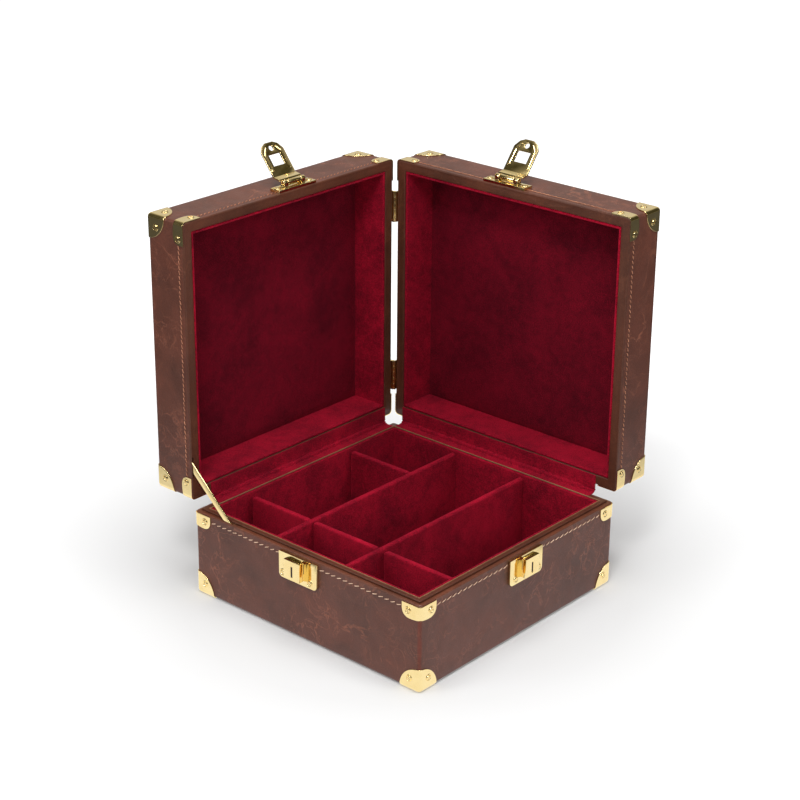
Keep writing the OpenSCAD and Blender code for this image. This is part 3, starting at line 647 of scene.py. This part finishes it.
def stitch(length, r, lean):
    """One stitch along the first axis, bowed, with both ends sunk; the third axis is outwards."""
    rings, sides = [], 7
    for t in spread(-1, 1, 8):
        swell = r * math.sqrt(max(1 - abs(t) ** 5, 0.02))
        along, across = t * length / 2, t * lean
        height = 0.22 * MM - 0.5 * MM * abs(t) ** 3
        rings.append([(along, across + swell * math.cos(a), height + swell * 0.8 * math.sin(a))
                      for a in (2 * math.pi * k / sides for k in range(sides))])
    return capped(rings)


def stitch_rows(name, rows, body, style):
    """Rows of stitches: each row is (start, end, outwards). Their holes are a second piece, dark discs of
    painted shade.
    """
    pitch, size, lean, thread = style
    rng = random.Random(7)
    points, faces, dots, dot_faces = [], [], [], []
    for start, end, out in rows:
        run = end - start
        count = round(run.length / pitch)
        u = run.normalized()
        v = out.cross(u)
        for i in range(count):
            centre = start + run * ((i + 0.5) / count)
            jitter = rng.uniform(-0.12, 0.12) * MM
            p, f = stitch(size * rng.uniform(0.96, 1.04), STITCH_R, lean + jitter)
            base = len(points)
            points += [centre + u * a + v * b + out * c for a, b, c in p]
            faces += [tuple(base + k for k in face) for face in f]
            hole = start + run * (i / count)
            base = len(dots)
            dots += [hole + u * (HOLE_LONG * a) + v * (HOLE_WIDE * b) + out * HOLE_LIFT
                     for a, b in arc((0, 0), 1, 0, 315, 7)]
            dots.append(hole - out * HOLE_SINK)
            dot_faces.append(tuple(range(base, base + 8)))
            dot_faces += [(base + k, base + 8, base + (k + 1) % 8) for k in range(8)]
    piece(name, points, faces, thread, body, "leather")
    piece(name + "_painted_hole_shade", dots, dot_faces, "hole", body, "leather")


def base_stitching():
    """A row along each side of the base, broken where a lock plate lies over it."""
    z = LEDGE_TOP - BASE_STITCH_DROP
    end = HALF - BASE_STITCH_CLEAR
    rows = []
    for turn, lock in enumerate(("front_lock_plate", "right_lock_plate", None, None)):
        spans = [(-end, end)]
        if lock:
            low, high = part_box(lock)
            spans = [(-end, low[turn] - LOCK_CLEAR), (high[turn] + LOCK_CLEAR, end)]
        spin = Matrix.Rotation(math.radians(90 * turn), 4, "Z")
        rows += [[spin @ Vector(p) for p in ((a, -HALF, z), (b, -HALF, z), (0, -1, 0))] for a, b in spans]
    stitch_rows("base_stitches", rows, "base", BASE_STITCH)


def lid_stitching(side, place):
    """A row along each of a lid's four sides, close to its rim."""
    flat = ((LID_GAP, -HALF), (LID_END, -HALF), (LID_END, HALF), (LID_GAP, HALF))
    corners = [Vector((a, b, LID_RIM + LID_STITCH_IN)) for a, b in flat]
    rows = []
    for a, b in zip(corners, corners[1:] + corners[:1]):
        u = (b - a).normalized()
        out = place.to_3x3() @ u.cross(Vector((0, 0, 1)))
        rows.append((place @ (a + u * LID_STITCH_CLEAR), place @ (b - u * LID_STITCH_CLEAR), out))
    stitch_rows(side + "_lid_stitches", rows, side + "_lid", LID_STITCH)


# ---------------------------------------------------------------- velvet


def lining_profile(edge, up, r, foot, face_heights):
    """Cross-section of a lining board: along its back, over its rounded edge, and down its face."""
    back = HALF - WALL_IN + 0.03 * MM
    face = back + LINING_T
    turn_at = edge - up * r
    top = 180 - 90 * up
    profile = [(back, foot)] + arc((back + r, turn_at), r, 180, top, 4)
    profile += arc((face - r - 0.1 * MM, turn_at), r, top, 180 - 180 * up, 5)
    return profile + [(face, height) for height in face_heights] + [(face, foot)]


def base_lining():
    """Velvet-covered boards round the inside of the base."""
    r = 1.25 * MM
    heights = spread(LINING_TOP - r - 2 * MM, FLOOR_TOP + 2.2 * MM, 8)
    profile = lining_profile(LINING_TOP, 1, r, FLOOR_TOP + 0.1 * MM, heights)
    obj = piece("base_velvet_lining", *loft(profile_rings(profile, BASE_OUTLINE, 48), True),
                "velvet_edge", "base", "velvet_edge", replaced=["base_lining"])
    soften(obj, 0.22 * MM, 45, 6)


def pad_mesh(low, high, crown, steps):
    """A closed pad between two corners, domed on its upper face; its third axis is up."""
    bottom, top = [], []
    for y, t in zip(spread(low[1], high[1], steps), spread(-1, 1, steps)):
        for x, s in zip(spread(low[0], high[0], steps), spread(-1, 1, steps)):
            dome = ((1 - abs(s) ** 8) * (1 - abs(t) ** 8)) ** 0.35
            swell = noise.noise(Vector((x, y, 0)) * 28) * 0.25 * MM
            top.append((x, y, high[2] - PAD_SINK + (crown + PAD_SINK + swell) * dome))
            bottom.append((x, y, low[2]))
    n = steps + 1
    quads = grid(steps, steps)
    rim = list(range(n)) + [j * n + n - 1 for j in range(1, n)]
    rim += [n * n - 1 - i for i in range(1, n)] + [j * n for j in range(n - 2, 0, -1)]
    faces = [tuple(n * n + k for k in q) for q in quads] + [q[::-1] for q in quads]
    faces += [(a, b, n * n + b, n * n + a) for a, b in zip(rim, rim[1:] + rim[:1])]
    return bottom + top, faces


def base_floor_velvet():
    """Padded velvet on the floor of the base."""
    low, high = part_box("base_floor_pad")
    obj = piece("base_floor_velvet", *pad_mesh(low, high, -0.2 * MM, 60), "velvet", "base", "velvet",
                replaced=["base_floor_pad"])


def divider(node):
    """A velvet-wrapped board, rounded over its top edge and a little soft along its sides."""
    low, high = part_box(node)
    middle = ((low.x + high.x) / 2, (low.y + high.y) / 2)
    half_u, half_v = (high.x - low.x) / 2, (high.y - low.y) / 2
    r = DIVIDER_R
    profile = [(0, z) for z in spread(low.z, high.z - r, 8)]
    profile += [(r - x, high.z - r + y) for x, y in arc((0, 0), r, 0, 80, 6)[1:]]
    rings = [ring(middle, half_u - inset, half_v - inset * 0.5,
                  min(1.2 * MM, half_u - inset - 0.1 * MM), z, 30) for inset, z in profile]
    obj = piece(node + "_velvet", *capped(rings), "velvet_edge", "base", "velvet_edge", replaced=[node])
    soften(obj, 0.25 * MM, 50, half_u * 900)


def lid_lining(side, place):
    """Velvet-covered boards round the inside of a lid."""
    front = LID_RIM + 0.35 * MM
    profile = lining_profile(front, -1, 1.2 * MM, LID_PAD + 2 * MM, spread(front + 3 * MM, LID_PAD, 6))
    obj = piece(side + "_lid_velvet_lining", *loft(profile_rings(profile, LID_OUTLINE, 48), True),
                "velvet_edge", side + "_lid", "velvet_edge", place, [side + "_lid_lining"])
    soften(obj, 0.22 * MM, 45, 8)


def lid_pad(side, place):
    """Padded velvet panel inside a lid."""
    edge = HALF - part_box("left_lid_pad")[1].y + 0.1 * MM
    low = (LID_GAP + edge, -HALF + edge, -LID_PANEL + 0.1 * MM)
    high = (LID_END - edge, HALF - edge, -LID_PAD)
    points, faces = pad_mesh(low, high, 0.9 * MM, 56)
    points = [(a, b, -v) for a, b, v in points]
    obj = piece(side + "_lid_velvet_pad", points, faces, "velvet", side + "_lid", "velvet", place,
                replaced=[side + "_lid_pad"])


def hinge_strip(side, place):
    """Velvet strip over the hinge: from the base's inner edge, across the gap, up the lid's rim."""
    inner, reach, under = HINGE_X - WALL_IN, HINGE_X - BAND_OUT, STRIP_UNDER
    path = [(inner - 1.35 * MM, under - 0.1 * MM), (inner - 1.7 * MM, under + 0.2 * MM),
            (inner - 2.6 * MM, under + 0.38 * MM), (reach + 1.6 * MM, under + 0.4 * MM),
            (reach + 0.4 * MM, under + 0.2 * MM), (FOLD + 1.2 * MM, under + 0.2 * MM),
            (FOLD + 0.35 * MM, under + 0.25 * MM)]
    path += arc((0, 0), FOLD, 0, 78.75, 7)
    path += [(p * MM, LID_GAP + q * MM)
             for p, q in ((0.35, 0.3), (0.3, 1.6), (0.25, 4), (0.2, 6.5), (0.1, 8.2), (-0.35, 9))]
    path = smooth_path(path, 3)[::2]
    low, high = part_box("left_lid_strip")
    ends = (low.y, high.y) if side == "left" else (-high.y, -low.y)
    columns = 80
    points = []
    for b in spread(*ends, columns):
        near_end = max(1 - (ends[1] - b) / STRIP_END, 1 - (b - ends[0]) / STRIP_END, 0)
        for i, (p, q) in enumerate(path):
            across = side_on(path, i)
            wave = noise.noise(Vector((b * 40, i * 0.35, 3.0))) * 0.1 * MM
            if abs(p) < FOLD and abs(q) < FOLD:
                wave -= min(near_end, 0.5) * STRIP_TUCK
            points.append(place @ Vector((q - across.y * wave, b, across.x * wave - p)))
    obj = loose(points, grid(columns, len(path) - 1))
    modifier(obj, "SOLIDIFY", thickness=STRIP_T, offset=1.0)
    replaced = [side + "_lid_strip"] + ["base_strips"] * (side == "left")
    dress(apply_modifiers(obj), side + "_hinge_velvet", "velvet_edge", None, replaced, 60)
    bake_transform(obj)


def bottom_felt():
    """Felt sheet under the base."""
    low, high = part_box("bottom_sheet")
    side = (high.x - low.x) / 2
    rings = [ring((0, 0), side, side, EDGE_R, z, 20) for z in (low.z + OFF_LEATHER, high.z - OFF_LEATHER)]
    obj = piece("bottom_felt", *capped(rings), "felt", "base", "bottom_sheet", replaced=["bottom_sheet"])


# ---------------------------------------------------------------- brass fittings


def on_round_corner(point):
    """Moves a point on a sharp corner's sides onto the same corner rounded, just off the leather."""
    core = Vector([max(c, EDGE_R) for c in point])
    return core + (Vector(point) - core).normalized() * (EDGE_R + OFF_LEATHER)


def cap_mesh():
    """Three-way corner cap: a quarter disc on each face, wrapped over the rounded corner."""
    rays, steps = 24, 14
    parts = []
    for axis in range(3):
        points = []
        for turn in spread(0, math.pi / 2, rays):
            for r in spread(0, CAP_REACH, steps):
                flat = [0.0, 0.0, 0.0]
                flat[(axis + 1) % 3] = r * math.cos(turn)
                flat[(axis + 2) % 3] = r * math.sin(turn)
                points.append(on_round_corner(flat))
        parts.append(loose(points, grid(rays, steps)))
    return thicken(joined(parts))


def thicken(obj):
    """Turns a sheet of brass to face away from the corner, and gives it thickness and soft edges."""
    bm = bmesh.new()
    bm.from_mesh(obj.data)
    bmesh.ops.remove_doubles(bm, verts=bm.verts, dist=2e-6)
    bmesh.ops.dissolve_degenerate(bm, dist=1e-7, edges=bm.edges)
    bmesh.ops.recalc_face_normals(bm, faces=bm.faces)
    if sum(sum(f.normal) for f in bm.faces) > 0:
        bmesh.ops.reverse_faces(bm, faces=bm.faces)
    bm.to_mesh(obj.data)
    bm.free()
    modifier(obj, "SOLIDIFY", thickness=BRASS_T - 2 * OFF_LEATHER, offset=1.0, use_even_offset=True)
    modifier(obj, "BEVEL", width=0.28 * MM, segments=3, limit_method="ANGLE", angle_limit=math.radians(50))
    return apply_modifiers(obj)


def plate_mesh(reach, height, end_height):
    """Plate around a rounded edge, highest beside the corner and rounded down to its two ends."""
    columns, rows = 48, 10
    points = []
    for turn in spread(-math.pi / 2, math.pi / 2, columns):
        s = reach * math.sin(turn)
        out = abs(s) / reach
        top = end_height + (height - end_height) * (1 - out ** 5) ** 0.45 - PLATE_DIP * (1 - out) ** 2
        around = on_round_corner((s, 0) if s > 0 else (0, -s))
        points += [(around.x, around.y, z) for z in spread(0, top, rows)]
    return thicken(loose(points, grid(columns, rows)))


def at_corners(part, name, body, place, low, high, z, flip, node):
    """Copies of a corner part at a rectangle's four corners, each turned to its corner, as one piece."""
    copies = []
    for u, sign_u in ((low[0], 1), (high[0], -1)):
        for v, sign_v in ((low[1], 1), (high[1], -1)):
            local = Matrix.Diagonal((sign_u, sign_v, flip, 1))
            local.translation = (u, v, z)
            copies.append(linked("copy", part.data.copy()))
            copies[-1].data.transform(place @ local)
    dress(joined(copies), name, "brass", body, [node])


def corner_brass():
    """Caps and plates at the corners of the base and of both lids."""
    cap, plate, lid_plate = cap_mesh(), plate_mesh(*BASE_PLATE), plate_mesh(*LID_PLATE)
    low, high = (-HALF, -HALF), (HALF, HALF)
    at_corners(cap, "base_corner_caps", "base", BASE, low, high, COVER_LOW, 1, "base_lower_caps")
    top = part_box("base_upper_plates")[1].z
    at_corners(plate, "base_corner_plates", "base", BASE, low, high, top, -1, "base_upper_plates")
    low, high = (LID_GAP, -HALF), (LID_END, HALF)
    rim = LID_RIM + 0.15 * MM
    for side, place in LIDS.items():
        body = side + "_lid"
        at_corners(cap, body + "_corner_caps", body, place, low, high, LID_DEPTH, -1, body + "_caps")
        at_corners(lid_plate, body + "_corner_plates", body, place, low, high, rim, 1, body + "_rim_plates")
    for part in (cap, plate, lid_plate):
        bpy.data.objects.remove(part)


def screw_mesh():
    """Slotted dome head in a ring, as wide as 1, standing on z = 0."""
    sides = 32
    outline = [(1.5, -0.05), (1.5, 0.05), (1.43, 0.13), (1.33, 0.16), (1.23, 0.13), (1.15, 0.0),
               (1.08, -0.03), (1.04, 0.06), (0.98, 0.17), (0.86, 0.24), (0.66, 0.28), (0.35, 0.3),
               (0.02, 0.3)]
    rings = [[(r * math.cos(2 * math.pi * k / sides), r * math.sin(2 * math.pi * k / sides), z)
              for k in range(sides)] for r, z in outline]
    obj = loose(*capped(rings))
    finish_mesh(obj, 30)
    return cut(obj, block((-1.1, -0.13, 0.14), (1.1, 0.13, 0.6)))


def screw_places(node):
    """Head centre, outward direction and head radius of each screw solid in a CAD node."""
    bm = bmesh.new()
    bm.from_mesh(frame["nodes"][node].data)
    bmesh.ops.remove_doubles(bm, verts=bm.verts, dist=1e-6)
    seen, found = set(), []
    for seed in bm.verts:
        if seed in seen:
            continue
        stack, island = [seed], []
        seen.add(seed)
        while stack:
            v = stack.pop()
            island.append(v.co.copy())
            for e in v.link_edges:
                other = e.other_vert(v)
                if other not in seen:
                    seen.add(other)
                    stack.append(other)
        found.append(np.array(island))
    bm.free()
    places = []
    for points in found:
        low, high = points.min(0), points.max(0)
        axis = int(np.argmax(high - low))
        middle = (low + high) / 2
        off = np.linalg.norm(np.delete(points - middle, axis, 1), axis=1)
        radius = off.max()
        if radius < LEAST_HEAD:
            continue
        head = points[off > 0.9 * radius][:, axis]
        sign = 1 if head.mean() > middle[axis] else -1
        centre = middle.copy()
        centre[axis] = head.min() if sign > 0 else head.max()
        places.append((Vector(centre), axis, sign, radius))
    return places


def screws(node, body):
    """Dome screws where the CAD node has one, leaving out those with too small a head."""
    rng = random.Random(len(node))
    head = screw_mesh()
    copies = []
    for centre, axis, sign, radius in screw_places(node):
        out, side = Vector((0, 0, 0)), Vector((0, 0, 0))
        out[axis] = sign
        side[(axis + 1) % 3] = 1
        m = turned(side * radius, out.cross(side) * radius, out * radius, centre)
        copies.append(linked("copy", head.data.copy()))
        copies[-1].data.transform(m @ Matrix.Rotation(rng.uniform(0.2, 1.3), 4, "Z"))
    bpy.data.objects.remove(head)
    dress(joined(copies), body + "_screw_heads", "brass", body, [node], 30)


def hasp_ribs(side, place):
    """Ribs pressed along the inner face of a hasp, on both sides of its window."""
    pin = place.inverted() @ HINGE[side + "_hasp_hinge"]
    obj = joined([rib(sign) for sign in (-1, 1)])
    obj.data.transform(place @ Matrix.Translation(pin) @ Matrix.Rotation(-HASP_LEAN, 4, "Y"))
    body = side + "_hasp"
    dress(obj, body + "_ribs", "brass", body)


def corner_leaves(side, place):
    """The long edges of the corner leaves, which fill the gap beside the other lid's knuckles."""
    low, high = (corner.z - HINGE[side + "_lid_hinge"].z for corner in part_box(side + "_corner_knuckles"))
    near, far = HALF + 0.05 * MM, HALF + 0.05 * MM + LEAF_T
    b = (near, far) if side == "left" else (-far, -near)
    obj = joined([block((a, b[0], LEAF_SPAN[0]), (a + LEAF_LONG, b[1], LEAF_SPAN[1]))
                  for a in (low, high - LEAF_LONG)])
    modifier(obj, "BEVEL", width=0.2 * MM, segments=3)
    apply_modifiers(obj).data.transform(place)
    body = side + "_lid"
    dress(obj, body + "_corner_leaf_edges", "brass", body)


def rib(sign):
    """One raised rib beside the window, turning in towards the eye."""
    spine = smooth_path([(a * MM, sign * b * MM) for a, b in RIB_LINE], 2)
    rings = []
    for i, (a, b) in enumerate(spine):
        across = side_on(spine, i) * RIB_HALF * (1.0 if 0 < i < len(spine) - 1 else 0.4)
        rings.append([(a + across.x * w, b + across.y * w, HASP_FACE + RIB_SINK - h * RIB_RISE)
                      for w, h in arc((0, 0), 1.0, 0, 180, 6)])
    return loose(*capped(rings))


def lock_insides():
    """Dark blocks inside the keyholes and the slits in the slides, as painted shade."""
    for side, along, across, inward in (("front", 0, 1, 1), ("right", 1, 0, -1)):
        slide = side + "_slide"
        for node, body, size, z, sunk in ((side + "_lock_case", "base", KEYHOLE, KEYHOLE_LOW, 0.35 * MM),
                                          (side + "_lock_slide", slide, SLIT, SLIT_LOW, 0.2 * MM)):
            low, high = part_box(node)
            middle, half = (low[along] + high[along]) / 2, size.x / 2 - HOLE_SHY
            face = (low if inward > 0 else high)[across]
            start, end = Vector((0, 0, z + HOLE_SHY)), Vector((0, 0, z + size.z - HOLE_SHY))
            start[along], end[along] = middle - half, middle + half
            start[across], end[across] = sorted((face + inward * sunk, face + inward * (size.y - HOLE_SHY)))
            obj = block(start, end)
            modifier(obj, "BEVEL", width=0.1 * MM, segments=2)
            dress(apply_modifiers(obj), side + "_" + body + "_painted_shade", "hole", body)


def kept_brass():
    """CAD fittings that stay: edges rounded by modifiers, and polished brass; the slides' brass is a deeper
    yellow, a painted reflection of the brass round it.
    """
    names = ["base_hinge_leaves", "hinge_pins", "stay_arm", "stay_pin"]
    names += [side + part for side in ("front", "right")
              for part in ("_lock_plate", "_lock_case", "_lock_slide")]
    names += [side + part for side in LIDS
              for part in ("_lid_hinge_leaves", "_corner_knuckles", "_hasp", "_hasp_base", "_hasp_pin")]
    width = {"plate": 0.5, "case": 0.45, "hasp_base": 0.4, "hasp": 0.3, "arm": 0.2}
    for name in names:
        rounding = next((w for end, w in width.items() if name.endswith("_" + end)), 0.15)
        obj = frame["nodes"][name]
        obj.data.materials.clear()
        # The slides take the deeper-yellow brass, a painted reflection.
        obj.data.materials.append(MATERIAL["gold" if "slide" in name else "brass"])
        modifier(obj, "WELD", merge_threshold=1e-6)
        modifier(obj, "BEVEL", width=rounding * MM, segments=3, limit_method="ANGLE",
                 angle_limit=math.radians(40), harden_normals=True)
        obj.data.shade_smooth()


def kept_wood():
    """The CAD's own boards stay, in raw plywood."""
    for name, obj in frame["nodes"].items():
        if name.endswith(("_floor", "_wall", "_walls", "_panel")):
            obj.data.materials.clear()
            obj.data.materials.append(MATERIAL["wood"])


# ---------------------------------------------------------------- studio

CAMERA_PLACE = Vector((1.04352, -1.19691, 0.85183))
CAMERA_AZIMUTH = math.radians(41.29)
CAMERA_DOWN = math.radians(22.90)
CAMERA_ROLL = 0.00878
CAMERA_LENS = 90.3

FLOOR_HALF = 6.0
# What brass sees of the room from the horizon (0) to straight up (1), as (height, red, green, blue).
ROOM = ((0.0, 0.3, 0.28, 0.2), (0.07, 0.06, 0.055, 0.03), (0.62, 0.1, 0.09, 0.045),
        (0.78, 0.4, 0.38, 0.3), (0.9, 1.4, 1.36, 1.25), (1.0, 1.4, 1.36, 1.25))
OPENING_AT = (-0.66, 0.75, 0)
OPENING = (1.3, 1.27, 1.18, 1)


def camera():
    """The photo's view; place, turn and lens were fitted to the case's corners."""
    data = bpy.data.cameras.new("camera")
    data.sensor_width = 36
    data.lens = CAMERA_LENS
    data.clip_start = 0.05
    data.clip_end = 50
    a, d = CAMERA_AZIMUTH, CAMERA_DOWN
    ahead = Vector((-math.sin(a) * math.cos(d), math.cos(a) * math.cos(d), -math.sin(d)))
    right = Vector((math.cos(a), math.sin(a), 0))
    level = turned(right, right.cross(ahead), -ahead, CAMERA_PLACE)
    obj = linked("camera", data)
    obj.matrix_world = level @ Matrix.Rotation(CAMERA_ROLL, 4, "Z")
    bpy.context.scene.camera = obj


def studio():
    """White floor that fades into white surroundings, and soft lamps."""
    s = FLOOR_HALF
    floor = linked("studio_floor", bpy.data.meshes.new("studio_floor"))
    floor.data.from_pydata([(-s, -s, 0), (s, -s, 0), (s, s, 0), (-s, s, 0)], [], [(0, 1, 2, 3)])
    floor.data.materials.append(floor_material())
    surroundings()
    lamp("top", (0.1, -0.1, 2.2), (0, 0, 0.1), 1.4, 26)
    lamp("front_left", (-1.1, -2.2, 1.5), (0, 0, 0.15), 1.0, 18)
    lamp("front_right", (2.3, 0.6, 1.5), (0, 0, 0.15), 1.0, 18)
    lamp("front", (0.9, -1.5, 2.3), (0, 0, 0.1), 0.7, 34)


def surroundings():
    """Even white light, but what shines sees a darker room, a bright ceiling and a bright opening."""
    world = bpy.data.worlds.new("studio")
    bpy.context.scene.world = world
    p = Paint(world, "Background", "Generated")
    room = p.node("ValToRGB", {"Fac": p.node("SeparateXYZ", {0: p.place}).outputs["Z"]})
    while len(room.color_ramp.elements) < len(ROOM):
        room.color_ramp.elements.new(0.5)
    for element, (where, *tone) in zip(room.color_ramp.elements, ROOM):
        element.position = where
        element.color = (*tone, 1)
    opening = p.ramp(p.vector("DOT_PRODUCT", p.place, OPENING_AT, "Value"), 0.5, 0.75)
    seen = p.mix(opening, room.outputs["Color"], OPENING)
    glossy = p.node("LightPath", {}).outputs["Is Glossy Ray"]
    p.finish(Color=p.mix(glossy, (1, 1, 1, 1), seen), Strength=0.5)


def lamp(name, place, aim, size, power):
    """A round soft lamp, turned towards a point."""
    data = bpy.data.lights.new(name, "AREA")
    data.shape = "DISK"
    data.size = size
    data.energy = power
    obj = linked(name, data)
    obj.location = place
    obj.rotation_euler = (Vector(aim) - Vector(place)).to_track_quat("-Z", "Y").to_euler()


# ---------------------------------------------------------------- build

base_cover()
base_rim()
base_stitching()
base_lining()
base_floor_velvet()
bottom_felt()
for node in frame["nodes"]:
    if node.endswith("long_divider") or node.startswith("short_divider"):
        divider(node)
for side, place in LIDS.items():
    lid_cover(side, place)
    lid_rim(side, place)
    lid_stitching(side, place)
    lid_lining(side, place)
    lid_pad(side, place)
    hinge_strip(side, place)
    screws(side + "_lid_screws", side + "_lid")
    hasp_ribs(side, place)
    corner_leaves(side, place)
corner_brass()
screws("base_screws", "base")
kept_brass()
lock_insides()
kept_wood()
camera()
studio()
bpy.context.scene.view_settings.view_transform = "Standard"
